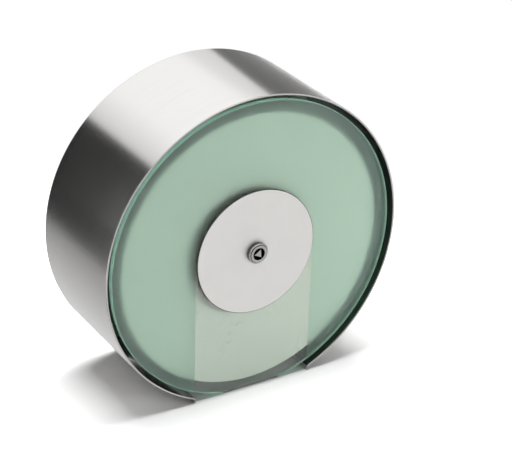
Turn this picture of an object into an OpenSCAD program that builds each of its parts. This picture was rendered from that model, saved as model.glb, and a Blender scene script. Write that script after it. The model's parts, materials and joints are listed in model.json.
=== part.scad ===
// Jumbo toilet roll dispenser: a rolled steel drum welded to a wall plate, a fixed spindle that
// carries the roll, and a round glass front that plugs into the spindle and is held there by a
// quarter-turn lock. The wall is the plane y = 0, the front faces -Y, and the drum's axis runs
// through the origin. The drum stands on the two lips beside the paper slot in its underside.

/* [Paper roll] */
// Outer diameter of the largest roll
roll_d = 265; // [220:1:300]
// Width of the paper
paper_w = 100; // [80:1:120]
// Inner diameter of the cardboard core
core_bore = 60; // [58:1:76]
// Wall of the cardboard core
core_t = 1.5; // [1:0.1:3]
// Bevel on the edges of the paper
paper_bevel = 0.8; // [0.4:0.1:3]

/* [Drum] */
// Room round the roll inside the drum
roll_room = 16; // [12:0.5:40]
// Thickness of the rolled sheet
sheet_t = 1.5; // [1:0.1:2.5]
// Width of the paper slot in the underside
slot_w = 120; // [90:1:130]
// Height of the lips turned down beside the slot
lip_h = 3.5; // [2.5:0.1:8]
// Inner radius of the bend into each lip
bend_r = 1.5; // [1:0.1:2.5]

/* [Wall plate] */
// Thickness of the wall plate
plate_t = 2.5; // [2.4:0.1:4]
// Distance between the wall screws, across and up
hole_pitch = 140; // [120:1:170]
// Diameter of the wall screw holes
hole_d = 6.5; // [4.5:0.5:9]

/* [Spindle] */
// Outer diameter of the spindle tube
spindle_d = 34; // [32:0.5:37]
// Wall of the spindle tube
spindle_t = 3; // [2.5:0.1:3.5]
// Thickness of the spindle's flange
flange_t = 2.5; // [2:0.1:4]
// Rim of the flange outside its bolts
flange_rim = 5.5; // [3:0.5:15]
// Wall of the plastic sleeve that the core hangs on
sleeve_t = 2.4; // [1.8:0.1:3.5]
// How much smaller the sleeve's radius is than the core's
core_slack = 1.8; // [0.6:0.1:4]
// Depth of the sleeve's collar behind the roll
collar_t = 6.2; // [6:0.1:12]
// Reach of the collar past the cardboard core
collar_reach = 6.5; // [4:0.5:12]
// Thickness of the keeper plate for the lock's tongue
keeper_t = 3; // [2:0.1:5]

/* [Glass front] */
// Thickness of the glass
glass_t = 5; // [4:0.5:10]
// Gap between the edge of the glass and the drum
glass_gap = 5; // [3:0.5:10]
// How far the glass lies behind the drum's rim
glass_recess = 2; // [1:0.1:12]
// Room between the glass and the roll
roll_gap = 1.5; // [1:0.1:8]
// Bevel on the edges of the glass
glass_bevel = 0.4; // [0.2:0.1:2]
// Height of the flat on the glass above the table
glass_foot = 0.8; // [0.5:0.1:4]

/* [Cover plate] */
// Diameter of the round steel cover plate
cover_d = 121; // [80:1:160]
// Thickness of the cover plate
cover_t = 1.5; // [1:0.1:4]
// Bevel on the front edge of the cover plate
cover_bevel = 0.4; // [0.2:0.1:1]
// Thickness of the gasket under the cover plate
gasket_t = 0.5; // [0.3:0.1:2]
// How far the gasket lies inside the cover plate's edge
gasket_inset = 4; // [2:0.5:10]

/* [Lock] */
// Diameter of the lock's threaded barrel
barrel_d = 16; // [15:0.5:18]
// Length of the barrel behind the cover plate's face
barrel_l = 15.5; // [14.5:0.1:17]
// Diameter of the bezel in front of the cover plate
bezel_d = 20; // [19:0.5:26]
// Height of the bezel
bezel_h = 5; // [4:0.1:8]
// Diameter of the key recess
recess_d = 11.8; // [11:0.1:12.4]
// Depth of the key recess
recess_h = 4; // [3:0.1:6]
// Side of the three-sided key post
post_side = 7.8; // [6:0.1:8.4]
// How far the key post's end lies inside the recess
post_inset = 0.6; // [0.2:0.1:2]
// Length of the tongue behind the keeper plate
tongue_l = 23; // [20:0.5:24]
// Width of the tongue
tongue_w = 11; // [10:0.5:12]
// Thickness of the tongue
tongue_t = 3; // [2:0.1:4]

/* [Hidden] */
$fn = 96;

// Overrun of every cut, and the clearances
cut = 1;
weld_gap = 0.1;      // between pieces that are welded or pressed together
run_gap = 0.1;       // round a piece that turns or slides in another
thread_gap = 0.05;   // round a screw in its thread
hole_gap = 0.2;      // round a screw in a plain hole
seat_gap = 0.3;      // between the end faces of pieces that move apart

// Drum and its lips, seen from the front
roll_r = roll_d / 2;
drum_ir = roll_r + roll_room;
drum_r = drum_ir + sheet_t;
bend_or = bend_r + sheet_t;
bend_x = slot_w / 2 + bend_or;
bend_angle = asin(bend_x / (drum_r + bend_r));
bend_y = -(drum_r + bend_r) * cos(bend_angle);
slot_y = -sqrt(pow(drum_r, 2) - pow(slot_w / 2, 2));
rest_y = slot_y - lip_h;

// Bolts of the spindle's flange
bolt_count = 4;
bolt_start_angle = 45;
bolt_r = 2;
bolt_l = 10;
bolt_head_r = 3.9;
bolt_inset = 0.1;
bolt_socket_r = 1.45;
bolt_socket_h = 1.5;
washer_r = 4.5;
washer_t = 0.8;
nut_across = 7;
nut_t = 3.2;

// Distances from the wall, along the drum's axis
flange_face = plate_t + flange_t;
washer_face = flange_face + washer_t;
collar_face = flange_face + collar_t;
roll_back = collar_face + seat_gap;
roll_face = roll_back + paper_w;
glass_back = roll_face + roll_gap;
glass_face = glass_back + glass_t;
drum_depth = glass_face + glass_recess;
cover_back = glass_face + gasket_t;
cover_face = cover_back + cover_t;

// Roll: its core hangs on the top of the sleeve, so its centre lies below the drum's axis
hang_gap = 0.1;
core_r = core_bore / 2;
core_or = core_r + core_t;
roll_drop = core_slack - hang_gap;

// Spindle, and the sleeve on it
spindle_r = spindle_d / 2;
spindle_ir = spindle_r - spindle_t;
sleeve_r = core_r - core_slack;
sleeve_bore_r = spindle_r + run_gap;
sleeve_neck_t = 2.2;
sleeve_neck_r = sleeve_bore_r + sleeve_neck_t;
collar_r = core_or + collar_reach;
rib_count = 6;
rib_start_angle = 30;
rib_t = 2;
rib_inset = 1;
bolt_gap = 2.5;
bolt_circle_r = collar_r + bolt_gap + washer_r;
flange_r = bolt_circle_r + washer_r + flange_rim;

// Clamp hub behind the glass, with a nose that plugs into the spindle
rear_gasket_t = 0.8;
hub_flange_t = 3;
hub_nose_l = 7.3;
hub_inset = 1.2;
nose_bevel = 0.8;
nose_r = spindle_ir - run_gap;
hub_r = sleeve_r - hub_inset;
hub_face = glass_back - rear_gasket_t;
hub_back = hub_face - hub_flange_t;
nose_end = hub_back - hub_nose_l;
spindle_end = hub_back - seat_gap;
sleeve_end = spindle_end - seat_gap;

// Dowel in the hub, and the notch in the spindle's end that keeps the glass upright
pin_r = 1.5;
pin_in_hub = 2.2;
pin_out = 3.8;
pin_at = spindle_r - spindle_t / 2;
pin_end = hub_back - pin_out;
notch_end = pin_end - seat_gap;

// Retaining ring in front of the sleeve's neck
clip_land = 1;
ring_t = 1.5;
ring_groove = 0.9;
ring_height = 3;
ring_slack = 0.1;
ring_split = 5;
ring_ear_r = 1.8;
ring_ear_hole_r = 0.8;
ring_face = notch_end - clip_land;
ring_back = ring_face - ring_t;
ring_ir = spindle_r - ring_groove + ring_slack;
neck_end = ring_back - ring_slack;

// Keeper plate inside the spindle
keeper_gap = 0.9;
keeper_slot_gap = 0.5;
keeper_face = nose_end - keeper_gap;
keeper_back = keeper_face - keeper_t;

// Screws that draw the hub to the studs on the cover plate
clamp_count = 3;
clamp_start_angle = 30;
clamp_screw_r = 1.5;
clamp_screw_l = 8.6;
clamp_head_r = 2.8;
clamp_head_gap = 0.4;
clamp_inset = 0.1;
clamp_socket_r = 1.15;
clamp_socket_h = 1;
clamp_circle_r = nose_r + clamp_head_gap + clamp_head_r;
stud_r = 2.8;
stud_gap = 0.2;
bush_gap = 0.3;
bush_t = 1;
bush_ir = clamp_circle_r + stud_r + bush_gap;
bush_or = bush_ir + bush_t;
glass_hole_r = bush_or + weld_gap;

// Glass
glass_r = drum_ir - glass_gap;
glass_flat_y = rest_y + glass_foot;

// Fixed half of the lock
barrel_r = barrel_d / 2;
bezel_r = bezel_d / 2;
bezel_face = cover_face + bezel_h;
bezel_side_h = 3.2;
bezel_slope_w = 1.1;
bezel_slope_h = 1.2;
bezel_groove_w = 0.5;
bezel_lip_bevel = 0.2;
barrel_end = cover_face - barrel_l;
lock_washer_r = 11.5;
lock_washer_t = 1;
lock_nut_across = 22;
lock_nut_t = 5;

// Turning half of the lock
plug_gap = 0.08;
recess_r = recess_d / 2;
plug_r = recess_r - plug_gap;
plug_floor = bezel_face - recess_h;
plug_tail = 1.7;
plug_end = barrel_end - plug_tail;
post_angle = 64;
clip_t = 0.8;
clip_groove_r = 4.75;
clip_ir = 4.8;
clip_or = 7.2;
clip_split = 4;
clip_face = barrel_end - ring_slack;
clip_back = clip_face - clip_t;
neck_r = 5;
tongue_gap = 0.4;
tongue_face = keeper_back - tongue_gap;
tongue_back = tongue_face - tongue_t;
square_w = 6.4;
square_short = 0.2;
tongue_washer_r = 5;
tongue_washer_t = 0.8;
tongue_screw_r = 2;
tongue_screw_l = 8;
tongue_head_r = 3.8;
tongue_head_h = 2.6;
tongue_socket_r = 1.45;
tongue_socket_h = 1.6;

// Sets a child on the drum's axis at a distance from the wall: its Z runs to the front, its Y up
module from_wall(d) {
    translate([0, -d, 0]) rotate([90, 0, 0]) children();
}

// Ring or tube about the drum's axis, between two distances from the wall
module ring(from, to, r_out, r_in) {
    from_wall(from) difference() {
        cylinder(r = r_out, h = to - from);
        translate([0, 0, -cut]) cylinder(r = r_in, h = to - from + 2 * cut);
    }
}

// Copies of a child on a circle round the axis, in equal steps
module around(count, start_angle, r) {
    for (i = [0 : count - 1]) rotate(start_angle + i * 360 / count) translate([r, 0, 0]) children();
}

// Screw along +Z, with a countersunk head at its start and a hexagon socket in the head
module flush_screw(head_r, r, l, socket_r, socket_h) {
    difference() {
        union() {
            cylinder(r1 = head_r, r2 = r, h = head_r - r);
            cylinder(r = r, h = l);
        }
        translate([0, 0, -cut]) cylinder(r = socket_r, h = socket_h + cut, $fn = 6);
    }
}

// Hole for a flush screw, whose head ends a little below the face at z = 0
module flush_hole(head_r, r, depth, inset) {
    translate([0, 0, -cut]) {
        cylinder(r = r + hole_gap, h = depth + 2 * cut);
        cylinder(r1 = head_r + hole_gap + cut, r2 = r + hole_gap, h = head_r - r + cut + inset);
    }
}

module hex_nut(across, t, r) {
    difference() {
        cylinder(r = across / 2 / cos(30), h = t, $fn = 6);
        translate([0, 0, -cut]) cylinder(r = r, h = t + 2 * cut);
    }
}

// One lip beside the slot: a bend that leaves the drum's curve, and the straight edge below it
module lip_profile() {
    translate([bend_x, bend_y]) intersection() {
        difference() {
            circle(r = bend_or);
            circle(r = bend_r);
        }
        polygon([[0, 0], 2 * bend_or * [-sin(bend_angle), cos(bend_angle)], [-2 * bend_or, 0]]);
    }
    translate([slot_w / 2, rest_y]) square([sheet_t, bend_y - rest_y]);
}

module drum_shell() {
    color("#c9c8c6") from_wall(0) linear_extrude(height = drum_depth) {
        difference() {
            circle(r = drum_r);
            circle(r = drum_ir);
            polygon([[0, 0], 2 * drum_r * [-sin(bend_angle), -cos(bend_angle)],
                     2 * drum_r * [sin(bend_angle), -cos(bend_angle)]]);
        }
        lip_profile();
        mirror([1, 0]) lip_profile();
    }
}

module back_plate() {
    color("#b9b9b7") from_wall(0) difference() {
        cylinder(r = drum_ir - weld_gap, h = plate_t);
        translate([-drum_r, slot_y - drum_r, -cut]) cube([2 * drum_r, drum_r, plate_t + 2 * cut]);
        for (x = [-1, 1], y = [-1, 1])
            translate([x * hole_pitch / 2, y * hole_pitch / 2, -cut])
                cylinder(r = hole_d / 2, h = plate_t + 2 * cut);
        around(bolt_count, bolt_start_angle, bolt_circle_r)
            flush_hole(bolt_head_r, bolt_r, plate_t, bolt_inset);
    }
}

module spindle_flange() {
    color("#b4b4b2") from_wall(plate_t) difference() {
        cylinder(r = flange_r, h = flange_t);
        translate([0, 0, -cut]) {
            cylinder(r = spindle_r + weld_gap, h = flange_t + 2 * cut);
            around(bolt_count, bolt_start_angle, bolt_circle_r)
                cylinder(r = bolt_r + hole_gap, h = flange_t + 2 * cut);
        }
    }
}

module spindle_screws() {
    color("#8f9092") from_wall(bolt_inset) around(bolt_count, bolt_start_angle, bolt_circle_r)
        flush_screw(bolt_head_r, bolt_r, bolt_l, bolt_socket_r, bolt_socket_h);
}

module spindle_washers() {
    color("#9a9b9d") from_wall(flange_face) around(bolt_count, bolt_start_angle, bolt_circle_r)
        difference() {
            cylinder(r = washer_r, h = washer_t);
            translate([0, 0, -cut]) cylinder(r = bolt_r + hole_gap, h = washer_t + 2 * cut);
        }
}

module spindle_nuts() {
    color("#8a8b8d") from_wall(washer_face) around(bolt_count, bolt_start_angle, bolt_circle_r)
        hex_nut(nut_across, nut_t, bolt_r + thread_gap);
}

// Tube with a groove for the retaining ring, and a notch in the top of its end for the dowel
module spindle_tube() {
    back = plate_t + weld_gap;
    color("#a9a9a8") difference() {
        ring(back, spindle_end, spindle_r, spindle_ir);
        from_wall(ring_back - ring_slack) difference() {
            cylinder(r = spindle_r + cut, h = ring_t + 2 * ring_slack);
            translate([0, 0, -cut]) cylinder(r = spindle_r - ring_groove, h = ring_t + 2 * cut);
        }
        from_wall(notch_end) translate([-pin_r - run_gap, 0, 0])
            cube([2 * (pin_r + run_gap), spindle_r + cut, spindle_end - notch_end + cut]);
    }
}

module keeper_plate() {
    slot_l = tongue_l + 2 * keeper_slot_gap;
    slot_h = tongue_w + 2 * keeper_slot_gap;
    color("#9c9d9e") from_wall(keeper_back) difference() {
        cylinder(r = spindle_ir - weld_gap, h = keeper_t);
        translate([0, 0, -cut]) intersection() {
            cylinder(r = slot_l / 2, h = keeper_t + 2 * cut);
            translate([-slot_l / 2, -slot_h / 2, 0]) cube([slot_l, slot_h, keeper_t + 2 * cut]);
        }
    }
}

// Moulded sleeve: a neck on the spindle, an outer wall on ribs, and a collar behind the roll
module spindle_sleeve() {
    neck_l = neck_end - flange_face;
    wall_l = sleeve_end - flange_face;
    rib_r = sleeve_bore_r + sleeve_neck_t / 2;
    rib_l = sleeve_r - sleeve_t / 2 - rib_r;
    color("#3c3e40") from_wall(flange_face) {
        rotate_extrude() polygon([
            [sleeve_bore_r, 0], [collar_r, 0], [collar_r, collar_t], [sleeve_r, collar_t],
            [sleeve_r, wall_l], [sleeve_r - sleeve_t, wall_l], [sleeve_r - sleeve_t, collar_t],
            [sleeve_neck_r, collar_t], [sleeve_neck_r, neck_l], [sleeve_bore_r, neck_l]
        ]);
        around(rib_count, rib_start_angle, rib_r) translate([0, -rib_t / 2, collar_t / 2])
            cube([rib_l, rib_t, neck_l - rib_inset - collar_t / 2]);
    }
}

// Open ring in the spindle's groove, with an eared gap at the bottom
module retaining_ring() {
    ear_at = ring_ir + ring_height - ring_ear_r;
    ear_angle = asin((ring_split / 2 + ring_ear_r) / ear_at);
    color("#55585b") from_wall(ring_back) difference() {
        union() {
            difference() {
                cylinder(r = ring_ir + ring_height / 2, h = ring_t);
                translate([-ring_split / 2, -2 * spindle_r, -cut])
                    cube([ring_split, 2 * spindle_r, ring_t + 2 * cut]);
            }
            for (side = [-1, 1]) rotate(-90 + side * ear_angle) translate([ear_at, 0, 0])
                cylinder(r = ring_ear_r, h = ring_t);
        }
        translate([0, 0, -cut]) {
            cylinder(r = ring_ir, h = ring_t + 2 * cut);
            for (side = [-1, 1]) rotate(-90 + side * ear_angle) translate([ear_at, 0, 0])
                cylinder(r = ring_ear_hole_r, h = ring_t + 2 * cut);
        }
    }
}

module cardboard_core() {
    color("#b89c78") translate([0, 0, -roll_drop]) ring(roll_back, roll_face, core_or, core_r);
}

module paper_roll() {
    inner = core_or + weld_gap;
    color("#e9ebe6") translate([0, 0, -roll_drop]) from_wall(roll_back) rotate_extrude() polygon([
        [inner, 0], [roll_r - paper_bevel, 0], [roll_r, paper_bevel],
        [roll_r, paper_w - paper_bevel], [roll_r - paper_bevel, paper_w], [inner, paper_w]
    ]);
}

// Round glass, cut flat at the bottom so that it clears the table
module glass_disc() {
    color("#9dbfae", 0.6) from_wall(glass_back) difference() {
        rotate_extrude() polygon([
            [glass_hole_r, 0], [glass_r - glass_bevel, 0], [glass_r, glass_bevel],
            [glass_r, glass_t - glass_bevel], [glass_r - glass_bevel, glass_t],
            [glass_hole_r, glass_t]
        ]);
        translate([-glass_r, glass_flat_y - glass_r, -cut])
            cube([2 * glass_r, glass_r, glass_t + 2 * cut]);
    }
}

// Plate with threaded studs on its back, which reach through the hole in the glass
module cover_plate() {
    cover_r = cover_d / 2;
    stud_l = cover_back - hub_face - stud_gap;
    color("#d9d8d5") from_wall(cover_back) difference() {
        union() {
            rotate_extrude() polygon([
                [barrel_r + run_gap, 0], [cover_r, 0], [cover_r, cover_t - cover_bevel],
                [cover_r - cover_bevel, cover_t], [barrel_r + run_gap, cover_t]
            ]);
            translate([0, 0, -stud_l]) around(clamp_count, clamp_start_angle, clamp_circle_r)
                cylinder(r = stud_r, h = stud_l + cover_t / 2);
        }
        translate([0, 0, -stud_l - cut]) around(clamp_count, clamp_start_angle, clamp_circle_r)
            cylinder(r = clamp_screw_r + thread_gap, h = stud_l + cut);
    }
}

module front_gasket() {
    color("#2c2f2d") ring(glass_face, cover_back, cover_d / 2 - gasket_inset, bush_or);
}

module rear_gasket() {
    color("#2c2f2d") ring(hub_face, glass_back, hub_r, glass_hole_r);
}

module glass_bush() {
    color("#d4d6d2") ring(glass_back + weld_gap, glass_face - weld_gap, bush_or, bush_ir);
}

// Flange that clamps the glass from behind, and the nose that plugs into the spindle
module clamp_hub() {
    hub_l = hub_face - nose_end;
    color("#a6a7a8") from_wall(nose_end) difference() {
        rotate_extrude() polygon([
            [barrel_r + run_gap, 0], [nose_r - nose_bevel, 0], [nose_r, nose_bevel],
            [nose_r, hub_nose_l], [hub_r, hub_nose_l], [hub_r, hub_l], [barrel_r + run_gap, hub_l]
        ]);
        translate([0, 0, hub_nose_l]) {
            around(clamp_count, clamp_start_angle, clamp_circle_r)
                flush_hole(clamp_head_r, clamp_screw_r, hub_flange_t, clamp_inset);
            translate([0, pin_at, -cut]) cylinder(r = pin_r + thread_gap, h = pin_in_hub + cut);
        }
    }
}

module clamp_screws() {
    color("#8f9092") from_wall(hub_back + clamp_inset)
        around(clamp_count, clamp_start_angle, clamp_circle_r)
            flush_screw(clamp_head_r, clamp_screw_r, clamp_screw_l, clamp_socket_r, clamp_socket_h);
}

module locating_pin() {
    color("#85878a") from_wall(pin_end) translate([0, pin_at, 0])
        cylinder(r = pin_r, h = pin_out + pin_in_hub - thread_gap);
}

// Barrel through the cover plate, and the bezel in front of it
module lock_housing() {
    slope_r = bezel_r - bezel_slope_w;
    groove_r = slope_r - bezel_groove_w;
    slope_top = bezel_side_h + bezel_slope_h;
    color("#b2b2b0") from_wall(cover_face) rotate_extrude() polygon([
        [recess_r, -barrel_l], [barrel_r, -barrel_l], [barrel_r, 0], [bezel_r, 0],
        [bezel_r, bezel_side_h], [slope_r, slope_top], [groove_r, slope_top],
        [groove_r, bezel_h], [recess_r + bezel_lip_bevel, bezel_h],
        [recess_r, bezel_h - bezel_lip_bevel]
    ]);
}

module lock_washer() {
    color("#9a9b9d")
        ring(cover_back - lock_washer_t, cover_back, lock_washer_r, barrel_r + run_gap);
}

module lock_nut() {
    color("#8a8b8d") from_wall(cover_back - lock_washer_t - lock_nut_t)
        hex_nut(lock_nut_across, lock_nut_t, barrel_r + thread_gap);
}

// Plug with the key post at its front, a groove for the clip, and a square for the tongue
module lock_core() {
    square_back = tongue_back + square_short;
    color("#8d8e90") difference() {
        union() {
            from_wall(plug_end) cylinder(r = plug_r, h = plug_floor - plug_end);
            from_wall(plug_floor) rotate(post_angle)
                cylinder(r = post_side / 2 / cos(30), h = recess_h - post_inset, $fn = 3);
            from_wall(tongue_face) cylinder(r = neck_r, h = plug_end - tongue_face);
            from_wall(square_back) translate([-square_w / 2, -square_w / 2, 0])
                cube([square_w, square_w, tongue_face - square_back]);
        }
        from_wall(clip_back - ring_slack) difference() {
            cylinder(r = plug_r + cut, h = clip_t + 2 * ring_slack);
            translate([0, 0, -cut]) cylinder(r = clip_groove_r, h = clip_t + 2 * cut);
        }
        from_wall(square_back - cut) cylinder(r = tongue_screw_r + thread_gap,
                                              h = tongue_screw_l + cut);
    }
}

module core_clip() {
    color("#55585b") from_wall(clip_back) difference() {
        cylinder(r = clip_or, h = clip_t);
        translate([0, 0, -cut]) cylinder(r = clip_ir, h = clip_t + 2 * cut);
        translate([-clip_split / 2, -2 * clip_or, -cut])
            cube([clip_split, 2 * clip_or, clip_t + 2 * cut]);
    }
}

// Bar across the spindle's bore: it passes the keeper plate lying level, and locks upright
module lock_tongue() {
    hole_w = square_w + 2 * thread_gap;
    color("#9c9d9e") from_wall(tongue_back) difference() {
        intersection() {
            cylinder(r = tongue_l / 2, h = tongue_t);
            translate([-tongue_l / 2, -tongue_w / 2, 0]) cube([tongue_l, tongue_w, tongue_t]);
        }
        translate([-hole_w / 2, -hole_w / 2, -cut]) cube([hole_w, hole_w, tongue_t + 2 * cut]);
    }
}

module tongue_washer() {
    color("#9a9b9d")
        ring(tongue_back - tongue_washer_t, tongue_back, tongue_washer_r, tongue_screw_r + hole_gap);
}

module tongue_screw() {
    seat = tongue_back - tongue_washer_t;
    color("#8f9092") from_wall(seat - tongue_head_h) difference() {
        union() {
            cylinder(r = tongue_head_r, h = tongue_head_h);
            cylinder(r = tongue_screw_r, h = tongue_head_h + tongue_screw_l);
        }
        translate([0, 0, -cut]) cylinder(r = tongue_socket_r, h = tongue_socket_h + cut, $fn = 6);
    }
}

// Housing on the wall
drum_shell();
back_plate();
spindle_flange();
spindle_screws();
spindle_washers();
spindle_nuts();
spindle_tube();
keeper_plate();
spindle_sleeve();
retaining_ring();

// Roll
cardboard_core();
paper_roll();

// Front that lifts off
glass_disc();
cover_plate();
front_gasket();
rear_gasket();
glass_bush();
clamp_hub();
clamp_screws();
locating_pin();
lock_housing();
lock_washer();
lock_nut();

// Turning half of the lock
lock_core();
core_clip();
lock_tongue();
tongue_washer();
tongue_screw();
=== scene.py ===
import json
from math import asin, cos, pi, radians, sin

import bmesh
import bpy
from mathutils import Matrix, Vector


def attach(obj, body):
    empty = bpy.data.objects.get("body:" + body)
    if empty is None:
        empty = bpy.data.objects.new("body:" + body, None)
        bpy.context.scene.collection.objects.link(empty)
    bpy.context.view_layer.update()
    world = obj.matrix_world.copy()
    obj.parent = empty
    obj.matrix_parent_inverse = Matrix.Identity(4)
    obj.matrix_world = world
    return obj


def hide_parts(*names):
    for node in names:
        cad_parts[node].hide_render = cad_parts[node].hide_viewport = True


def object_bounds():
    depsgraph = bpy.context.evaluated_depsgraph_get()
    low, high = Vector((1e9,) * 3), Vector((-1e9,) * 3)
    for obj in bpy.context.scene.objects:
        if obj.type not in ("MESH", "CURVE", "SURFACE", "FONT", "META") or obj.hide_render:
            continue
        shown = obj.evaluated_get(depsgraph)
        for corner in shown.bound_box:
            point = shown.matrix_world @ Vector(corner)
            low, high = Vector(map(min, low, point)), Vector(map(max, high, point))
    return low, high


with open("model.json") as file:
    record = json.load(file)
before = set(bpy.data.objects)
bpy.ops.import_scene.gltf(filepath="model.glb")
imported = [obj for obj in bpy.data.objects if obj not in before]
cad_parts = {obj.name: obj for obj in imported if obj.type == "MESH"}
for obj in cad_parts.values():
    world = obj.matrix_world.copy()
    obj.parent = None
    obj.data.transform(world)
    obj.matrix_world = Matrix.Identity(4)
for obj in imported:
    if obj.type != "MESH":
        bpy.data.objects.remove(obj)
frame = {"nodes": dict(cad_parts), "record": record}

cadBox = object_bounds()
nodes = frame["nodes"]
scene = bpy.context.scene
scene.view_settings.view_transform = "Standard"
mm = 0.001
standZ = cadBox[0][2]  # the drum stands on the turned-down lips of its slot
print("packed model loaded:", len(nodes), "nodes")


def linear(hexColour):
    channels = [int(hexColour[i:i + 2], 16) / 255 for i in (1, 3, 5)]
    return [c / 12.92 if c <= 0.04045 else ((c + 0.055) / 1.055) ** 2.4 for c in channels] + [1.0]


def addNode(tree, kind, inputs=None, **settings):
    # inputs holds a number, a colour, a socket or a whole node for each socket's name or place
    node = tree.nodes.new(kind)
    for key, value in settings.items():
        setattr(node, key, value)
    for key, value in (inputs or {}).items():
        if isinstance(value, bpy.types.Node):
            value = next(out for out in value.outputs if out.enabled)
        if isinstance(value, bpy.types.NodeSocket):
            tree.links.new(value, node.inputs[key])
        else:
            node.inputs[key].default_value = value
    return node


def newMaterial(name):
    material = bpy.data.materials.new(name)
    material.use_nodes = True
    material.node_tree.nodes.clear()
    return material, material.node_tree


# the camera stands where the photograph was taken from: degrees, metres and a lens in mm
camera = {
    "azimuth": -32.15, "elevation": 27.739, "distance": 1.583, "aim": (0, -0.120, 0),
    "yaw": 0.039, "pitch": 0.822, "roll": -1.776, "lens": 124.85, "sensor": 36.0,
}


def placeCamera(shot):
    azimuth, elevation = radians(shot["azimuth"]), radians(shot["elevation"])
    back = Vector((sin(azimuth) * cos(elevation), -cos(azimuth) * cos(elevation),
                   sin(elevation)))
    forward = -back
    right = forward.cross(Vector((0, 0, 1))).normalized()
    up = right.cross(forward)
    for angle, side in (("yaw", "up"), ("pitch", "right"), ("roll", "forward")):
        about = {"up": up, "right": right, "forward": forward}[side]
        turn = Matrix.Rotation(radians(shot[angle]), 3, about)
        forward, right, up = turn @ forward, turn @ right, turn @ up
    data = bpy.data.cameras.new("camera")
    data.lens, data.sensor_width, data.sensor_fit = shot["lens"], shot["sensor"], "HORIZONTAL"
    cameraObject = bpy.data.objects.new("camera", data)
    spot = Vector(shot["aim"]) + back * shot["distance"]
    cameraObject.matrix_world = Matrix.Translation(spot) @ Matrix(
        (right, up, -forward)).transposed().to_4x4()
    scene.collection.objects.link(cameraObject)
    scene.camera = cameraObject


placeCamera(camera)
print("camera done")


def backgroundShares(tree):
    # 1 where the camera looks at the background, and 1 where it does or gloss or glass does,
    # but 0 for light that the background casts
    rays = addNode(tree, "ShaderNodeLightPath").outputs
    mirrored = addNode(tree, "ShaderNodeMath", {
        0: rays["Is Glossy Ray"], 1: rays["Is Transmission Ray"]}, operation="MAXIMUM")
    seen = addNode(tree, "ShaderNodeMath", {
        0: rays["Is Camera Ray"], 1: mirrored}, operation="MAXIMUM")
    first = addNode(tree, "ShaderNodeMath", {
        0: rays["Diffuse Depth"], 1: 0.5}, operation="LESS_THAN")
    return rays["Is Camera Ray"], addNode(tree, "ShaderNodeMath", {
        0: seen, 1: first}, operation="MULTIPLY")


floorPaper = {
    "size": 14.0,  # metres across
    "lit": 0.90, "mirrored": 1.25, "seen": 1.54,  # how pale it is to lamps, to gloss, to the eye
    "greyWithin": 0.27, "whiteBeyond": 0.42,  # metres from the middle of the drum's back
    # painted shade: how much the paper under the drum is darkened, and where
    "shade": 0.54, "shadeMiddle": -60 * mm,  # under the drum, about the middle of its depth
    "shadeAside": (61 * mm, 112 * mm), "shadeAlong": (57 * mm, 62.5 * mm),  # full to none
}


def floorMaterial(paper):
    # matt white studio paper: where it is looked at it is lighter than where it lights the
    # object, and away from the object it glows white, so that only the shadows are grey. Under
    # the drum, and most of all between the lips of its slot, the paper is darkened by a painted
    # shade on top of the shadow that the lamps cast
    material, tree = newMaterial("white_studio_paper")
    seen, shown = backgroundShares(tree)
    pale = addNode(tree, "ShaderNodeMapRange", {
        "Value": shown, "To Min": paper["lit"], "To Max": paper["mirrored"]})
    pale = addNode(tree, "ShaderNodeMix", {0: seen, 2: pale, 3: paper["seen"]})

    place = addNode(tree, "ShaderNodeTexCoord").outputs["Object"]
    xyz = addNode(tree, "ShaderNodeSeparateXYZ", {0: place}).outputs
    aside = addNode(tree, "ShaderNodeMath", {0: xyz["X"]}, operation="ABSOLUTE")
    under = addNode(tree, "ShaderNodeMapRange", {
        "Value": aside, "From Min": paper["shadeAside"][0], "From Max": paper["shadeAside"][1],
        "To Min": 1.0, "To Max": 0.0})
    along = addNode(tree, "ShaderNodeMath", {
        0: xyz["Y"], 1: paper["shadeMiddle"]}, operation="SUBTRACT")
    along = addNode(tree, "ShaderNodeMath", {0: along}, operation="ABSOLUTE")
    under = addNode(tree, "ShaderNodeMapRange", {
        "Value": along, "From Min": paper["shadeAlong"][0], "From Max": paper["shadeAlong"][1],
        "To Min": under, "To Max": 0.0})
    # painted shade: the paper's colour is darkened under the drum, deepest between the lips
    paintedShade = addNode(tree, "ShaderNodeMapRange", {
        "Value": under, "To Min": 1.0, "To Max": paper["shade"]})
    pale = addNode(tree, "ShaderNodeMath", {0: pale, 1: paintedShade}, operation="MULTIPLY")
    grey = addNode(tree, "ShaderNodeCombineColor", {0: pale, 1: pale, 2: pale})
    matt = addNode(tree, "ShaderNodeBsdfDiffuse", {"Color": grey})

    away = addNode(tree, "ShaderNodeVectorMath", {0: place}, operation="LENGTH").outputs["Value"]
    far = addNode(tree, "ShaderNodeMapRange", {
        "Value": away, "From Min": paper["greyWithin"], "From Max": paper["whiteBeyond"]})
    farSeen = addNode(tree, "ShaderNodeMath", {0: far, 1: seen}, operation="MULTIPLY")
    white = addNode(tree, "ShaderNodeEmission", {"Color": linear("#FFFFFF"), "Strength": 1.0})
    both = addNode(tree, "ShaderNodeMixShader", {0: farSeen, 1: matt, 2: white})
    addNode(tree, "ShaderNodeOutputMaterial", {"Surface": both})
    return material


def flatPiece(name, points, material):
    mesh = bpy.data.meshes.new(name)
    mesh.from_pydata(points, [], [list(range(len(points)))])
    piece = bpy.data.objects.new(name, mesh)
    mesh.materials.append(material)
    scene.collection.objects.link(piece)
    return piece


def buildFloor(paper):
    half = paper["size"] / 2
    flatPiece("floor", [(x * half, y * half, standZ) for x, y in
                        ((-1, -1), (1, -1), (1, 1), (-1, 1))], floorMaterial(paper))


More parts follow.
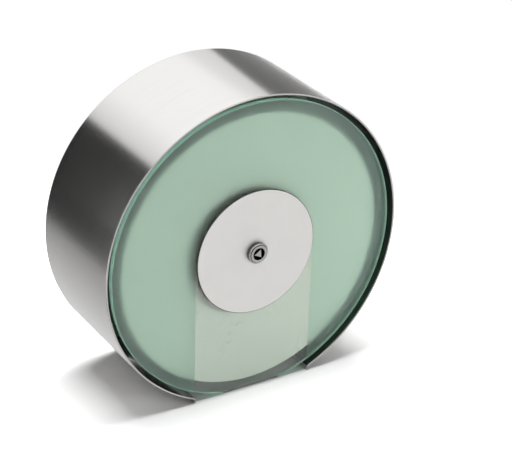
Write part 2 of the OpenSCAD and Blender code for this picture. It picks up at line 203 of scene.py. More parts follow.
# an even world, a softbox overhead and a low one in front on the right: metres and watts
worldGlow = {"lights": 0.11, "shows": 1.0}
lamps = {
    "softbox": {"size": (1.35, 1.0), "at": (0.06, 0.13, 1.50), "aim": (0.06, 0.13, 0),
                "power": 34.0},
    "front_softbox": {"size": (1.2, 0.4), "at": (0.95, -1.30, 0.07), "aim": (0, -0.12, 0),
                      "power": 17.0},
}


def buildWorld(glow):
    world = bpy.data.worlds.new("studio")
    scene.world = world
    world.use_nodes = True
    tree = world.node_tree
    tree.nodes.clear()
    strength = addNode(tree, "ShaderNodeMapRange", {
        "Value": backgroundShares(tree)[1], "To Min": glow["lights"], "To Max": glow["shows"]})
    sky = addNode(tree, "ShaderNodeBackground", {
        "Color": linear("#FFFFFF"), "Strength": strength})
    addNode(tree, "ShaderNodeOutputWorld", {"Surface": sky})


def buildLamps(boxes):
    # metal and glass don't mirror the lamps themselves, but the cards below
    for name, box in boxes.items():
        lamp = bpy.data.lights.new(name, "AREA")
        lamp.shape, lamp.energy = "RECTANGLE", box["power"]
        lamp.size, lamp.size_y = box["size"]
        lampObject = bpy.data.objects.new(name, lamp)
        lampObject.location = box["at"]
        toward = Vector(box["aim"]) - Vector(box["at"])
        lampObject.rotation_euler = toward.to_track_quat("-Z", "Y").to_euler()
        lampObject.visible_glossy = lampObject.visible_transmission = False
        scene.collection.objects.link(lampObject)


# what metal and glass mirror: dark flags left and right, the paper's shade on the left, the lit
# paper in front and the softbox's cloth, each with its corners in metres and how much it glows
# at two places along one axis
cards = {
    "left_flag": {"points": [(-0.38, 0.11, -0.14), (-0.38, 3.0, -0.14),
                             (-0.38, 3.0, 0.388), (-0.38, 0.11, 0.388)],
                  "along": "Z", "between": (-0.14, 0.6), "glow": (0.03, 0.015)},
    "left_ground": {"points": [(-0.38, -0.30, -0.1405), (-0.10, -0.30, -0.1405),
                               (-0.10, 3.0, -0.1405), (-0.38, 3.0, -0.1405)],
                    "along": "X", "between": (-0.38, -0.12), "glow": (0.26, 0.82)},
    "right_flag": {"points": [(1.2, -0.10, -0.14), (1.2, 1.95, -0.14), (1.2, 1.82, 0.487),
                              (1.2, 1.57, 0.943), (1.2, 1.235, 1.299), (1.2, 0.59, 1.55),
                              (1.2, -0.10, 1.55)],
                   "along": "Z", "between": (-0.14, 0.6), "glow": (0.36, 0.15)},
    "front_ground": {"points": [(-0.25, -0.132, -0.1404), (0.80, -0.132, -0.1404),
                                (0.80, -1.20, -0.1404), (-0.25, -1.20, -0.1404)],
                     "along": "Y", "between": (-1.2, -0.13), "glow": (1.0, 1.0)},
    "softbox_face": {"points": [(-1.8, -1.2, 1.56), (1.3, -1.2, 1.56), (1.3, 3.2, 1.56),
                                (-1.8, 3.2, 1.56)],
                     "along": "X", "between": (-1.6, -0.5), "glow": (0.85, 1.38)},
}


def cardMaterial(name, card):
    # card, or a softbox's cloth, whose glow runs evenly from one place to another
    material, tree = newMaterial(name)
    place = addNode(tree, "ShaderNodeTexCoord").outputs["Object"]
    along = addNode(tree, "ShaderNodeSeparateXYZ", {0: place}).outputs[card["along"]]
    (low, high), (glowLow, glowHigh) = card["between"], card["glow"]
    strength = addNode(tree, "ShaderNodeMapRange", {
        "Value": along, "From Min": low, "From Max": high, "To Min": glowLow, "To Max": glowHigh})
    glow = addNode(tree, "ShaderNodeEmission", {
        "Color": linear("#FFFFFF"), "Strength": strength})
    addNode(tree, "ShaderNodeOutputMaterial", {"Surface": glow})
    return material


def buildCards(rows):
    for name, card in rows.items():
        piece = flatPiece(name, card["points"], cardMaterial("card_" + name, card))
        piece.visible_camera = piece.visible_diffuse = piece.visible_shadow = False
        piece.visible_transmission = piece.visible_volume_scatter = False


buildFloor(floorPaper)
buildWorld(worldGlow)
buildLamps(lamps)
buildCards(cards)
print("studio done:", len(lamps), "lamps,", len(cards), "cards")


def cylinderCoordinates(tree):
    # a point's own place, its x, y and z, its angle round the drum's axis and distance from it
    place = addNode(tree, "ShaderNodeTexCoord").outputs["Object"]
    xyz = addNode(tree, "ShaderNodeSeparateXYZ", {0: place}).outputs
    angle = addNode(tree, "ShaderNodeMath", {0: xyz["X"], 1: xyz["Z"]}, operation="ARCTAN2")
    flat = addNode(tree, "ShaderNodeCombineXYZ", {"X": xyz["X"], "Y": xyz["Z"]})
    radius = addNode(tree, "ShaderNodeVectorMath", {0: flat}, operation="LENGTH").outputs["Value"]
    return place, xyz, angle, radius


drumSteel = {
    "outside": ("#CDCCCA", "#D6D5D3"), "rough": (0.21, 0.23), "roughNoise": (0.6, 1.4),
    # the inside's dark green-grey is painted shade, tinted like light let in through the green
    # glass
    "inside": "#55655D", "insideRadius": 149.3 * mm, "insideRough": 0.16,
    "cut": "#B5B4B2", "cutFrom": -119.75 * mm,
    "spread": 0.60, "spreadTurn": 0.25,  # a quarter turn puts it along the drum's axis
    "scratchWide": 1.4 * mm, "scratchLong": 110 * mm, "radius": 150 * mm, "cloud": 90 * mm,
    "bump": 0.05, "bumpDepth": 0.04 * mm,
}


def drumSteelMaterial(steel):
    # stainless sheet, belt-brushed round the drum, so that gloss spreads along the drum's axis;
    # its inside keeps the mill's smoother skin, and its dark green-grey there is painted shade,
    # tinted like light let in through the green glass; its cut front edge is duller. Belt
    # scratches of 0.1 mm are too fine for this picture, so they are drawn 1.4 mm wide
    material, tree = newMaterial("brushed_stainless_sheet")
    place, xyz, angle, radius = cylinderCoordinates(tree)
    scratchAround = addNode(tree, "ShaderNodeMath", {
        0: angle, 1: steel["radius"] / steel["scratchLong"]}, operation="MULTIPLY")
    scratchAcross = addNode(tree, "ShaderNodeMath", {
        0: xyz["Y"], 1: 1 / steel["scratchWide"]}, operation="MULTIPLY")
    scratch = addNode(tree, "ShaderNodeCombineXYZ", {"X": scratchAround, "Y": scratchAcross})
    grain = addNode(tree, "ShaderNodeTexNoise", {"Vector": scratch, "Scale": 1.0, "Detail": 3.0})
    cloud = addNode(tree, "ShaderNodeTexNoise", {
        "Vector": place, "Scale": 1 / steel["cloud"], "Detail": 1.0})

    inside = addNode(tree, "ShaderNodeMath", {
        0: radius, 1: steel["insideRadius"]}, operation="LESS_THAN")
    cut = addNode(tree, "ShaderNodeMath", {
        0: xyz["Y"], 1: steel["cutFrom"]}, operation="LESS_THAN")
    tone = addNode(tree, "ShaderNodeMix", {
        0: grain, 6: linear(steel["outside"][0]), 7: linear(steel["outside"][1])},
        data_type="RGBA")
    # painted shade on the drum's inside, greenish like the light let in through the glass
    tone = addNode(tree, "ShaderNodeMix", {
        0: inside, 6: tone, 7: linear(steel["inside"])}, data_type="RGBA")
    tone = addNode(tree, "ShaderNodeMix", {
        0: cut, 6: tone, 7: linear(steel["cut"])}, data_type="RGBA")

    worn = addNode(tree, "ShaderNodeMath", {0: grain, 1: cloud}, operation="ADD")
    rough = addNode(tree, "ShaderNodeMapRange", {
        "Value": worn, "From Min": steel["roughNoise"][0], "From Max": steel["roughNoise"][1],
        "To Min": steel["rough"][0], "To Max": steel["rough"][1]})
    rough = addNode(tree, "ShaderNodeMix", {0: inside, 2: rough, 3: steel["insideRough"]})
    bump = addNode(tree, "ShaderNodeBump", {
        "Strength": steel["bump"], "Distance": steel["bumpDepth"], "Height": grain})
    tangent = addNode(tree, "ShaderNodeTangent", direction_type="RADIAL", axis="Y")
    shader = addNode(tree, "ShaderNodeBsdfPrincipled", {
        "Base Color": tone, "Metallic": 1.0, "Roughness": rough, "Anisotropic": steel["spread"],
        "Anisotropic Rotation": steel["spreadTurn"], "Tangent": tangent, "Normal": bump})
    addNode(tree, "ShaderNodeOutputMaterial", {"Surface": shader})
    return material


satinSteels = {
    "cover_steel": {"name": "bead_blasted_stainless", "colours": ("#D6D4D2", "#DCDAD8"),
                    "rough": 0.56, "grit": 0.9 * mm, "bumpDepth": 0.04 * mm,
                    # the cut edge's dark greenish tone is partly the laser's oxide, partly painted
                    # shade
                    "cutAndShadeRadius": 59.9 * mm, "cut": "#5C615A"},
    "inner_steel": {"name": "rolled_stainless", "colours": ("#A9A9A8", "#B9B9B7"),
                    "rough": 0.38, "grit": 1.4 * mm, "bumpDepth": 0.03 * mm},
    "fastener_steel": {"name": "tumbled_stainless", "colours": ("#9FA0A2", "#B0B1B2"),
                       "rough": 0.33, "grit": 0.8 * mm, "bumpDepth": 0.03 * mm},
    "spring_steel": {"name": "oxidised_spring_steel", "colours": ("#4A4B4D", "#5B5C5E"),
                     "rough": 0.42, "grit": 0.8 * mm, "bumpDepth": 0.03 * mm},
}
satinSurface = {"cloudPerGrit": 22, "roughSpread": 0.04, "bump": 0.25}


def satinSteelMaterial(steel, surface):
    # stainless or spring steel with an even, directionless surface: bead-blasted, rolled,
    # tumbled or oxidised. Its grit of about 0.1 mm is drawn 8 to 14 times as coarse to show,
    # and a round plate's cut edge and its broken corner are darkened partly by the laser's oxide
    # and partly as painted shade, with a greenish cast
    material, tree = newMaterial(steel["name"])
    place, xyz, angle, radius = cylinderCoordinates(tree)
    speck = addNode(tree, "ShaderNodeTexNoise", {"Vector": place, "Scale": 1 / steel["grit"]})
    cloud = addNode(tree, "ShaderNodeTexNoise", {
        "Vector": place, "Scale": 1 / (steel["grit"] * surface["cloudPerGrit"]), "Detail": 1.0})
    tone = addNode(tree, "ShaderNodeMix", {
        0: cloud, 6: linear(steel["colours"][0]), 7: linear(steel["colours"][1])},
        data_type="RGBA")
    # painted shade at the plate's cut edge and broken corner, besides the laser's darkening
    if "cutAndShadeRadius" in steel:
        cut = addNode(tree, "ShaderNodeMath", {
            0: radius, 1: steel["cutAndShadeRadius"]}, operation="GREATER_THAN")
        tone = addNode(tree, "ShaderNodeMix", {
            0: cut, 6: tone, 7: linear(steel["cut"])}, data_type="RGBA")
    rough = addNode(tree, "ShaderNodeMapRange", {
        "Value": speck, "To Min": steel["rough"] - surface["roughSpread"],
        "To Max": steel["rough"] + surface["roughSpread"]})
    bump = addNode(tree, "ShaderNodeBump", {
        "Strength": surface["bump"], "Distance": steel["bumpDepth"], "Height": speck})
    shader = addNode(tree, "ShaderNodeBsdfPrincipled", {
        "Base Color": tone, "Metallic": 1.0, "Roughness": rough, "Normal": bump})
    addNode(tree, "ShaderNodeOutputMaterial", {"Surface": shader})
    return material


turnedSteel = {
    "feed": ("#9B9A98", "#AEADAB"), "feedStep": 0.5 * mm, "rough": (0.20, 0.28),
    "bump": 0.2, "bumpDepth": 0.03 * mm,
    # the side, the groove and the recess's bottom are darkened as painted shade
    "sideAndGrooveShade": "#5A5958", "sideRadius": 9.7 * mm, "grooveRadius": 8.65 * mm, "grooveHalf": 0.3 * mm,
    "recessShade": "#1E1E1D", "recessRadius": 5.95 * mm, "recessFrom": -124.2 * mm,
}


def turnedSteelMaterial(steel):
    # stainless turned on a lathe: fine feed marks round the axis, 0.5 mm apart here to show,
    # with painted shade on the side and in the groove, and the bottom of the key recess painted
    # nearly black as shade
    material, tree = newMaterial("turned_stainless")
    place, xyz, angle, radius = cylinderCoordinates(tree)
    turns = addNode(tree, "ShaderNodeMath", {
        0: radius, 1: 2 * pi / steel["feedStep"]}, operation="MULTIPLY")
    wave = addNode(tree, "ShaderNodeMath", {0: turns}, operation="SINE")
    feed = addNode(tree, "ShaderNodeMapRange", {"Value": wave, "From Min": -1.0})
    tone = addNode(tree, "ShaderNodeMix", {
        0: feed, 6: linear(steel["feed"][0]), 7: linear(steel["feed"][1])}, data_type="RGBA")

    # painted shade on the bezel's side wall and in its groove
    side = addNode(tree, "ShaderNodeMath", {
        0: radius, 1: steel["sideRadius"]}, operation="GREATER_THAN")
    groove = addNode(tree, "ShaderNodeMath", {
        0: radius, 1: steel["grooveRadius"], 2: steel["grooveHalf"]}, operation="COMPARE")
    sideAndGrooveShade = addNode(tree, "ShaderNodeMath", {0: side, 1: groove}, operation="MAXIMUM")
    tone = addNode(tree, "ShaderNodeMix", {
        0: sideAndGrooveShade, 6: tone, 7: linear(steel["sideAndGrooveShade"])}, data_type="RGBA")

    # painted shade in the bottom of the key recess
    near = addNode(tree, "ShaderNodeMath", {
        0: radius, 1: steel["recessRadius"]}, operation="LESS_THAN")
    deep = addNode(tree, "ShaderNodeMath", {
        0: xyz["Y"], 1: steel["recessFrom"]}, operation="GREATER_THAN")
    shadedRecess = addNode(tree, "ShaderNodeMath", {0: near, 1: deep}, operation="MULTIPLY")
    tone = addNode(tree, "ShaderNodeMix", {
        0: shadedRecess, 6: tone, 7: linear(steel["recessShade"])}, data_type="RGBA")

    rough = addNode(tree, "ShaderNodeMapRange", {
        "Value": feed, "To Min": steel["rough"][0], "To Max": steel["rough"][1]})
    bump = addNode(tree, "ShaderNodeBump", {
        "Strength": steel["bump"], "Distance": steel["bumpDepth"], "Height": feed})
    shader = addNode(tree, "ShaderNodeBsdfPrincipled", {
        "Base Color": tone, "Metallic": 1.0, "Roughness": rough, "Normal": bump})
    addNode(tree, "ShaderNodeOutputMaterial", {"Surface": shader})
    return material


mouldings = {
    "gasket_rubber": {"name": "black_nitrile_rubber", "colours": ("#1D1F1E", "#2A2C2B"),
                      "rough": 0.7, "grain": 1.0 * mm, "bumpDepth": 0.05 * mm},
    "sleeve_plastic": {"name": "moulded_black_abs", "colours": ("#2B2C2E", "#333436"),
                       "rough": 0.45, "grain": 0.7 * mm, "bumpDepth": 0.03 * mm},
    "bush_plastic": {"name": "turned_white_acetal", "colours": ("#DADBD7", "#E4E5E1"),
                     "rough": 0.4, "grain": 0.7 * mm, "bumpDepth": 0.02 * mm},
}
mouldedSurface = {"roughSpread": 0.05, "bump": 0.3, "ior": 1.5}


def mouldedMaterial(plastic, surface):
    # moulded or turned plastic, or rubber: opaque, with the tool's fine grain drawn about ten
    # times as coarse as it is, to show
    material, tree = newMaterial(plastic["name"])
    place = addNode(tree, "ShaderNodeTexCoord").outputs["Object"]
    speck = addNode(tree, "ShaderNodeTexNoise", {
        "Vector": place, "Scale": 1 / plastic["grain"], "Detail": 3.0})
    tone = addNode(tree, "ShaderNodeMix", {
        0: speck, 6: linear(plastic["colours"][0]), 7: linear(plastic["colours"][1])},
        data_type="RGBA")
    rough = addNode(tree, "ShaderNodeMapRange", {
        "Value": speck, "To Min": plastic["rough"] - surface["roughSpread"],
        "To Max": plastic["rough"] + surface["roughSpread"]})
    bump = addNode(tree, "ShaderNodeBump", {
        "Strength": surface["bump"], "Distance": plastic["bumpDepth"], "Height": speck})
    shader = addNode(tree, "ShaderNodeBsdfPrincipled", {
        "Base Color": tone, "IOR": surface["ior"], "Roughness": rough, "Normal": bump})
    addNode(tree, "ShaderNodeOutputMaterial", {"Surface": shader})
    return material


tissue = {
    "colours": ("#E5E1DC", "#EDE9E4"), "rough": 0.92, "sheen": 0.15, "specular": 0.2,
    "plyDrawn": 1.7 * mm, "ringWander": 0.35, "ringShare": 0.55, "cloud": 35 * mm,
    "crepe": 1.2 * mm, "crepeShare": 0.35, "bump": 0.02, "bumpDepth": 0.15 * mm,
    "creaseShade": "#B9C0B5", "creaseCell": 30 * mm, "creaseHalf": 0.012,
    "creasedFrom": 0.52, "creasedTo": 0.60, "creaseStrength": 0.45,  # where the cloud is high
}


def tissueMaterial(paper):
    # creped two-ply tissue, wound: pale and matt, with faint rings where the edges of its plies
    # lie and a few short creases, drawn as lines of painted shade. Plies are 0.15 mm apart, which
    # is drawn as rings of 1.7 mm
    material, tree = newMaterial("wound_crepe_tissue")
    place, xyz, angle, radius = cylinderCoordinates(tree)
    outward = addNode(tree, "ShaderNodeMath", {
        0: radius, 1: 1 / paper["plyDrawn"]}, operation="MULTIPLY")
    wander = addNode(tree, "ShaderNodeMath", {
        0: angle, 1: paper["ringWander"]}, operation="MULTIPLY")
    ringAt = addNode(tree, "ShaderNodeCombineXYZ", {"X": outward, "Y": wander})
    rings = addNode(tree, "ShaderNodeTexNoise", {"Vector": ringAt, "Scale": 1.0})
    crepe = addNode(tree, "ShaderNodeTexNoise", {"Vector": place, "Scale": 1 / paper["crepe"]})
    cloud = addNode(tree, "ShaderNodeTexNoise", {"Vector": place, "Scale": 1 / paper["cloud"]})
    mixed = addNode(tree, "ShaderNodeMix", {0: paper["ringShare"], 2: cloud, 3: rings})
    tone = addNode(tree, "ShaderNodeMix", {
        0: mixed, 6: linear(paper["colours"][0]), 7: linear(paper["colours"][1])},
        data_type="RGBA")

    # a crease's painted shade runs where a slow noise crosses its middle value, and only where the
    # cloud is high
    waver = addNode(tree, "ShaderNodeTexNoise", {
        "Vector": place, "Scale": 1 / paper["creaseCell"], "Detail": 5.0})
    fromLine = addNode(tree, "ShaderNodeMath", {0: waver, 1: 0.5}, operation="SUBTRACT")
    fromLine = addNode(tree, "ShaderNodeMath", {0: fromLine}, operation="ABSOLUTE")
    line = addNode(tree, "ShaderNodeMapRange", {
        "Value": fromLine, "From Max": paper["creaseHalf"], "To Min": 1.0, "To Max": 0.0})
    somewhere = addNode(tree, "ShaderNodeMapRange", {
        "Value": cloud, "From Min": paper["creasedFrom"], "From Max": paper["creasedTo"],
        "To Max": paper["creaseStrength"]})
    shadedCrease = addNode(tree, "ShaderNodeMath", {0: line, 1: somewhere}, operation="MULTIPLY")
    # painted shade along the creases
    tone = addNode(tree, "ShaderNodeMix", {
        0: shadedCrease, 6: tone, 7: linear(paper["creaseShade"])}, data_type="RGBA")

    height = addNode(tree, "ShaderNodeMix", {0: paper["crepeShare"], 2: rings, 3: crepe})
    bump = addNode(tree, "ShaderNodeBump", {
        "Strength": paper["bump"], "Distance": paper["bumpDepth"], "Height": height})
    shader = addNode(tree, "ShaderNodeBsdfPrincipled", {
        "Base Color": tone, "Roughness": paper["rough"], "Normal": bump,
        "Sheen Weight": paper["sheen"], "Specular IOR Level": paper["specular"]})
    addNode(tree, "ShaderNodeOutputMaterial", {"Surface": shader})
    return material


board = {
    "colours": ("#8F7B62", "#AD987C"), "seam": "#6E5D49", "seamShare": 0.03, "rough": 0.85,
    "climb": 60 * mm, "fibre": 1.2 * mm, "bump": 0.3, "bumpDepth": 0.1 * mm,
}


def boardMaterial(core):
    # grey-brown board wound in a spiral, with a seam every 60 mm of its climb and loose fibres,
    # which are drawn 1.2 mm across to show
    material, tree = newMaterial("spiral_wound_board")
    place, xyz, angle, radius = cylinderCoordinates(tree)
    turns = addNode(tree, "ShaderNodeMath", {0: angle, 1: 1 / (2 * pi)}, operation="MULTIPLY")
    climb = addNode(tree, "ShaderNodeMath", {
        0: xyz["Y"], 1: 1 / core["climb"], 2: turns}, operation="MULTIPLY_ADD")
    step = addNode(tree, "ShaderNodeMath", {0: climb}, operation="FRACT")
    seam = addNode(tree, "ShaderNodeMath", {0: step, 1: core["seamShare"]}, operation="LESS_THAN")
    fibre = addNode(tree, "ShaderNodeTexNoise", {
        "Vector": place, "Scale": 1 / core["fibre"], "Detail": 3.0})
    tone = addNode(tree, "ShaderNodeMix", {
        0: fibre, 6: linear(core["colours"][0]), 7: linear(core["colours"][1])},
        data_type="RGBA")
    tone = addNode(tree, "ShaderNodeMix", {
        0: seam, 6: tone, 7: linear(core["seam"])}, data_type="RGBA")
    bump = addNode(tree, "ShaderNodeBump", {
        "Strength": core["bump"], "Distance": core["bumpDepth"], "Height": fibre})
    shader = addNode(tree, "ShaderNodeBsdfPrincipled", {
        "Base Color": tone, "Roughness": core["rough"], "Normal": bump})
    addNode(tree, "ShaderNodeOutputMaterial", {"Surface": shader})
    return material


glass = {
    "etchedFrom": -117.7 * mm, "stripHalf": 60.6 * mm, "edgeRadius": 143.3 * mm,
    "clear": "#F0F7F2", "satin": "#C8E5D8", "ground": "#97CDB5",
    "clearRough": 0.015, "satinRough": 0.66, "groundRough": 0.30, "groundHaze": 0.55,
    "ior": 1.52, "specular": 0.2, "paintedEdgeGlow": 0.20,
    "lampClear": "#EAF4EE", "lampSatin": "#EEEFEB",  # the light of the lamps that it lets in
    "lampFacing": 0.45,  # and from where on it lets in less, from square on to grazing
}


def glassMaterial(sheet):
    # green float glass, satin-etched on its front but for the clear strip, with a ground edge:
    # the etched side blurs what lies behind, the strip and the back are polished and clear, and
    # the edge has a painted glow, a little emission standing in for the light that runs inside the
    # sheet
    material, tree = newMaterial("satin_etched_float_glass")
    place, xyz, angle, radius = cylinderCoordinates(tree)
    onFront = addNode(tree, "ShaderNodeMath", {
        0: xyz["Y"], 1: sheet["etchedFrom"]}, operation="LESS_THAN")
    aside = addNode(tree, "ShaderNodeMath", {0: xyz["X"]}, operation="ABSOLUTE")
    outside = addNode(tree, "ShaderNodeMath", {
        0: aside, 1: sheet["stripHalf"]}, operation="GREATER_THAN")
    above = addNode(tree, "ShaderNodeMath", {0: xyz["Z"], 1: 0.0}, operation="GREATER_THAN")
    offStrip = addNode(tree, "ShaderNodeMath", {0: outside, 1: above}, operation="MAXIMUM")
    etched = addNode(tree, "ShaderNodeMath", {0: onFront, 1: offStrip}, operation="MULTIPLY")
    ground = addNode(tree, "ShaderNodeMath", {
        0: radius, 1: sheet["edgeRadius"]}, operation="GREATER_THAN")

    tone = addNode(tree, "ShaderNodeMix", {
        0: etched, 6: linear(sheet["clear"]), 7: linear(sheet["satin"])}, data_type="RGBA")
    tone = addNode(tree, "ShaderNodeMix", {
        0: ground, 6: tone, 7: linear(sheet["ground"])}, data_type="RGBA")
    rough = addNode(tree, "ShaderNodeMix", {
        0: etched, 2: sheet["clearRough"], 3: sheet["satinRough"]})
    rough = addNode(tree, "ShaderNodeMix", {0: ground, 2: rough, 3: sheet["groundRough"]})
    through = addNode(tree, "ShaderNodeMix", {0: ground, 2: 1.0, 3: 1 - sheet["groundHaze"]})
    # painted glow: the ground edge emits a little light of its own, for light piped through the
    # sheet
    glow = addNode(tree, "ShaderNodeMath", {0: ground, 1: sheet["paintedEdgeGlow"]}, operation="MULTIPLY")
    shader = addNode(tree, "ShaderNodeBsdfPrincipled", {
        "Base Color": tone, "Roughness": rough, "IOR": sheet["ior"],
        "Transmission Weight": through, "Specular IOR Level": sheet["specular"],
        "Emission Color": linear(sheet["ground"]), "Emission Strength": glow})

    # refraction alone would keep the lamps off the roll, so their light passes straight
    lampTone = addNode(tree, "ShaderNodeMix", {
        0: etched, 6: linear(sheet["lampClear"]), 7: linear(sheet["lampSatin"])},
        data_type="RGBA")
    facing = addNode(tree, "ShaderNodeLayerWeight", {"Blend": 0.5}).outputs["Facing"]
    kept = addNode(tree, "ShaderNodeMapRange", {
        "Value": facing, "From Min": sheet["lampFacing"], "To Min": 1.0, "To Max": 0.0})
    lampTone = addNode(tree, "ShaderNodeVectorMath", {
        0: lampTone, "Scale": kept}, operation="SCALE")
    lampLight = addNode(tree, "ShaderNodeBsdfTransparent", {"Color": lampTone})
    lampOnly = addNode(tree, "ShaderNodeLightPath").outputs["Is Shadow Ray"]
    both = addNode(tree, "ShaderNodeMixShader", {0: lampOnly, 1: shader, 2: lampLight})
    addNode(tree, "ShaderNodeOutputMaterial", {"Surface": both})
    return material


finishes = {
    "drum_steel": drumSteelMaterial(drumSteel),
    "lock_steel": turnedSteelMaterial(turnedSteel),
    "satin_glass": glassMaterial(glass),
    "cardboard": boardMaterial(board),
    "tissue_paper": tissueMaterial(tissue),
}
for slot, steel in satinSteels.items():
    finishes[slot] = satinSteelMaterial(steel, satinSurface)
for slot, plastic in mouldings.items():
    finishes[slot] = mouldedMaterial(plastic, mouldedSurface)

for part in frame["record"]["subparts"]:
    for materialSlot in nodes[part["node"]].material_slots:
        materialSlot.material = finishes[part["material_slot"]]
print("materials done:", len(finishes))


def finishPiece(name, mesh, body, slot, replaced, sharp):
    mesh.set_sharp_from_angle(angle=radians(sharp))
    piece = bpy.data.objects.new(name, mesh)
    scene.collection.objects.link(piece)
    if not mesh.materials:
        mesh.materials.append(finishes[slot])
    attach(piece, body)
    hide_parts(replaced)


# the drum: rolled sheet with rounded edges, and a turned-down lip on each side of the slot
drum = {
    "outer": 150 * mm, "inner": 148.5 * mm, "sheet": 1.5 * mm, "depth": 120 * mm,
    "slotHalf": 60 * mm, "bendInner": 1.5 * mm, "edgeRound": 0.3 * mm,
    "steps": 300, "bendSteps": 8, "roundSteps": 3,
    "rows": (3, 10),  # rows of points beside each edge, in roundings, which keep the gloss even
    "sharp": 40,  # degrees: flatter edges are shaded smooth
}


def sheetStations(sheet):
    # pairs of points on the inner and outer side of the sheet, from the left lip to the right
    # the lip's bend is centred beside the slot, where its round and the drum's own touch
    bendOuter = sheet["bendInner"] + sheet["sheet"]
    bendX = sheet["slotHalf"] + bendOuter
    reach = sheet["outer"] + sheet["bendInner"]
    bendAngle = asin(bendX / reach)
    bendZ = -reach * cos(bendAngle)
    right = [((sheet["slotHalf"], standZ), (sheet["slotHalf"] + sheet["sheet"], standZ))]
    for k in range(sheet["bendSteps"] + 1):
        turn = pi - (pi / 2 - bendAngle) * k / sheet["bendSteps"]
        right.append(tuple((bendX + r * cos(turn), bendZ + r * sin(turn))
                           for r in (bendOuter, sheet["bendInner"])))
    halfSteps = sheet["steps"] // 2
    for k in range(1, halfSteps):
        a = bendAngle + (pi - bendAngle) * k / halfSteps
        right.append(tuple((r * sin(a), -r * cos(a)) for r in (sheet["inner"], sheet["outer"])))
    top = [((0, sheet["inner"]), (0, sheet["outer"]))]
    left = [tuple((-x, z) for x, z in pair) for pair in right]
    return left + top + right[::-1]


def sheetSection(sheet):
    # a rounded rectangle: share of the way across the sheet, and depth from the wall
    r, wide, far = sheet["edgeRound"], sheet["sheet"], sheet["depth"]
    near, middle = (r * row for row in sheet["rows"])
    corners = ((r, r, pi), (wide - r, r, 1.5 * pi), (wide - r, far - r, 0),
               (r, far - r, 0.5 * pi))
    loop = []
    for cx, cy, start in corners:
        for k in range(sheet["roundSteps"] + 1):
            a = start + 0.5 * pi * k / sheet["roundSteps"]
            loop.append((cx + r * cos(a), cy + r * sin(a)))
        if start == 1.5 * pi:
            loop += [(wide, y) for y in (near, middle, far - middle, far - near)]
    loop += [(0, y) for y in (far - near, far - middle, middle, near)]
    return [(across / wide, y) for across, y in loop]


def buildDrum(sheet):
    stations, section = sheetStations(sheet), sheetSection(sheet)
    points = []
    for (ix, iz), (ox, oz) in stations:
        points += [(ix + (ox - ix) * s, -y, iz + (oz - iz) * s) for s, y in section]
    n = len(section)
    # four-sided faces between neighbouring stations, and one across the end of each lip
    faces = [(i * n + k, i * n + (k + 1) % n, (i + 1) * n + (k + 1) % n, (i + 1) * n + k)
             for i in range(len(stations) - 1) for k in range(n)]
    last = (len(stations) - 1) * n
    faces += [tuple(range(n))[::-1], tuple(last + k for k in range(n))]
    mesh = bpy.data.meshes.new("drum_sheet")
    mesh.from_pydata(points, [], faces)
    outwards = bmesh.new()
    outwards.from_mesh(mesh)
    bmesh.ops.recalc_face_normals(outwards, faces=outwards.faces)
    outwards.to_mesh(mesh)
    outwards.free()
    mesh.polygons.foreach_set("use_smooth", [True] * len(mesh.polygons))
    finishPiece("drum_sheet", mesh, "housing", "drum_steel", "drum_shell", sheet["sharp"])
    print("drum done:", len(faces), "faces")


buildDrum(drum)

# the paper roll: a section with rounded corners, swept round its axis in Geometry Nodes, whose
# sides carry the low ridges of one long spiral and drift in and out a little. Real plies lie
# 0.15 mm apart, and the ridges gather about 28 of them each
roll = {
    "Bore Radius": 31.6 * mm, "Roll Radius": 132.5 * mm, "Width": 100 * mm,
    "Centre Depth": 61.5 * mm, "Drop": 1.7 * mm,
    "Edge Round": 0.9 * mm, "Edge Points": 3, "Step": 0.85 * mm, "Around": 150,
    "Ridge Pitch": 4.2 * mm, "Ridge Depth": 0.04 * mm,
    "Edge Drift": 0.5 * mm, "Drift Per Pitch": 0.13, "Seed": 7.0,
}
rollSharp = 60  # degrees


def newGeometryTree(name, sizes):
    tree = bpy.data.node_groups.new(name, "GeometryNodeTree")
    tree.interface.new_socket("Geometry", in_out="OUTPUT", socket_type="NodeSocketGeometry")
    for key, value in sizes.items():
        kind = "NodeSocketInt" if isinstance(value, int) else "NodeSocketFloat"
        tree.interface.new_socket(key, in_out="INPUT", socket_type=kind)
    tree.interface.new_socket("Material", in_out="INPUT", socket_type="NodeSocketMaterial")
    return tree, addNode(tree, "NodeGroupInput").outputs


def plainFromTree(name, tree, sizes, material):
    # runs the tree on an empty mesh, with each input set by its identifier, and keeps the result
    carrier = bpy.data.objects.new(name + "_carrier", bpy.data.meshes.new(name + "_carrier"))
    scene.collection.objects.link(carrier)
    modifier = carrier.modifiers.new("shape", "NODES")
    modifier.node_group = tree
    for item in tree.interface.items_tree:
        if item.in_out == "INPUT":
            modifier[item.identifier] = material if item.name == "Material" else sizes[item.name]
    shown = carrier.evaluated_get(bpy.context.evaluated_depsgraph_get())
    mesh = bpy.data.meshes.new_from_object(shown)
    mesh.name = name
    bpy.data.objects.remove(carrier, do_unlink=True)
    return mesh


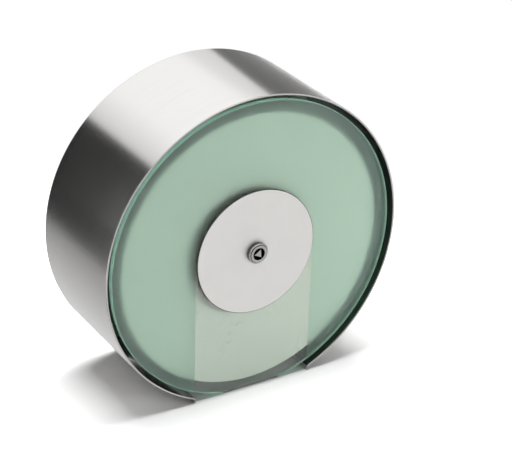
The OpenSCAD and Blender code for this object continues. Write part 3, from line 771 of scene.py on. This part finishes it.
def rollTree(sizes):
    tree, given = newGeometryTree("wound_roll", sizes)
    band = addNode(tree, "ShaderNodeMath", {
        0: given["Roll Radius"], 1: given["Bore Radius"]}, operation="SUBTRACT")
    middle = addNode(tree, "ShaderNodeMath", {
        0: band, 1: 0.5, 2: given["Bore Radius"]}, operation="MULTIPLY_ADD")
    circle = addNode(tree, "GeometryNodeCurvePrimitiveCircle", {
        "Resolution": given["Around"], "Radius": middle})
    section = addNode(tree, "GeometryNodeCurvePrimitiveQuadrilateral", {
        "Width": band, "Height": given["Width"]})
    rounded = addNode(tree, "GeometryNodeFilletCurve", {
        "Curve": section, "Radius": given["Edge Round"], "Count": given["Edge Points"]},
        mode="POLY")
    stepped = addNode(tree, "GeometryNodeResampleCurve", {
        "Curve": rounded, "Length": given["Step"]}, mode="LENGTH")
    swept = addNode(tree, "GeometryNodeCurveToMesh", {"Curve": circle, "Profile Curve": stepped})

    # the spiral: distance from the axis in pitches, plus the share of a turn
    place = addNode(tree, "GeometryNodeInputPosition")
    xyz = addNode(tree, "ShaderNodeSeparateXYZ", {0: place}).outputs
    angle = addNode(tree, "ShaderNodeMath", {0: xyz["Y"], 1: xyz["X"]}, operation="ARCTAN2")
    flat = addNode(tree, "ShaderNodeCombineXYZ", {"X": xyz["X"], "Y": xyz["Y"]})
    radius = addNode(tree, "ShaderNodeVectorMath", {0: flat}, operation="LENGTH").outputs["Value"]
    pitches = addNode(tree, "ShaderNodeMath", {
        0: radius, 1: given["Ridge Pitch"]}, operation="DIVIDE")
    phase = addNode(tree, "ShaderNodeMath", {
        0: pitches, 1: 2 * pi, 2: angle}, operation="MULTIPLY_ADD")
    wave = addNode(tree, "ShaderNodeMath", {0: phase}, operation="SINE")
    hollow = addNode(tree, "ShaderNodeMapRange", {
        "Value": wave, "From Min": -1.0, "To Max": given["Ridge Depth"]})

    # the drift: a slow noise that changes with the distance from the axis alone
    where = addNode(tree, "ShaderNodeMath", {
        0: pitches, 1: given["Drift Per Pitch"], 2: given["Seed"]}, operation="MULTIPLY_ADD")
    drift = addNode(tree, "ShaderNodeTexNoise", {"W": where, "Scale": 1.0}, noise_dimensions="1D")
    sunk = addNode(tree, "ShaderNodeMath", {
        0: drift, 1: given["Edge Drift"], 2: hollow}, operation="MULTIPLY_ADD")

    # only the two sides move: the normal's part along the axis
    normal = addNode(tree, "GeometryNodeInputNormal")
    facing = addNode(tree, "ShaderNodeSeparateXYZ", {0: normal}).outputs["Z"]
    inward = addNode(tree, "ShaderNodeMath", {0: facing, 1: -1.0}, operation="MULTIPLY")
    amount = addNode(tree, "ShaderNodeMath", {0: sunk, 1: inward}, operation="MULTIPLY")
    move = addNode(tree, "ShaderNodeCombineXYZ", {"Z": amount})
    ridged = addNode(tree, "GeometryNodeSetPosition", {"Geometry": swept, "Offset": move})

    # it was made about Z, and hangs on its sleeve about Y, a little below the drum's axis
    back = addNode(tree, "ShaderNodeMath", {
        0: given["Centre Depth"], 1: -1.0}, operation="MULTIPLY")
    down = addNode(tree, "ShaderNodeMath", {0: given["Drop"], 1: -1.0}, operation="MULTIPLY")
    spot = addNode(tree, "ShaderNodeCombineXYZ", {"Y": back, "Z": down})
    hung = addNode(tree, "GeometryNodeTransform", {
        "Geometry": ridged, "Translation": spot, "Rotation": (pi / 2, 0, 0)})
    smooth = addNode(tree, "GeometryNodeSetShadeSmooth", {"Geometry": hung})
    real = addNode(tree, "GeometryNodeRealizeInstances", {"Geometry": smooth})
    dressed = addNode(tree, "GeometryNodeSetMaterial", {
        "Geometry": real, "Material": given["Material"]})
    addNode(tree, "NodeGroupOutput", {"Geometry": dressed})
    return tree


def buildRoll(sizes):
    mesh = plainFromTree("wound_tissue", rollTree(sizes), sizes, finishes["tissue_paper"])
    finishPiece("wound_tissue", mesh, "roll", "tissue_paper", "paper_roll", rollSharp)
    print("paper roll done:", len(mesh.polygons), "faces")


buildRoll(roll)
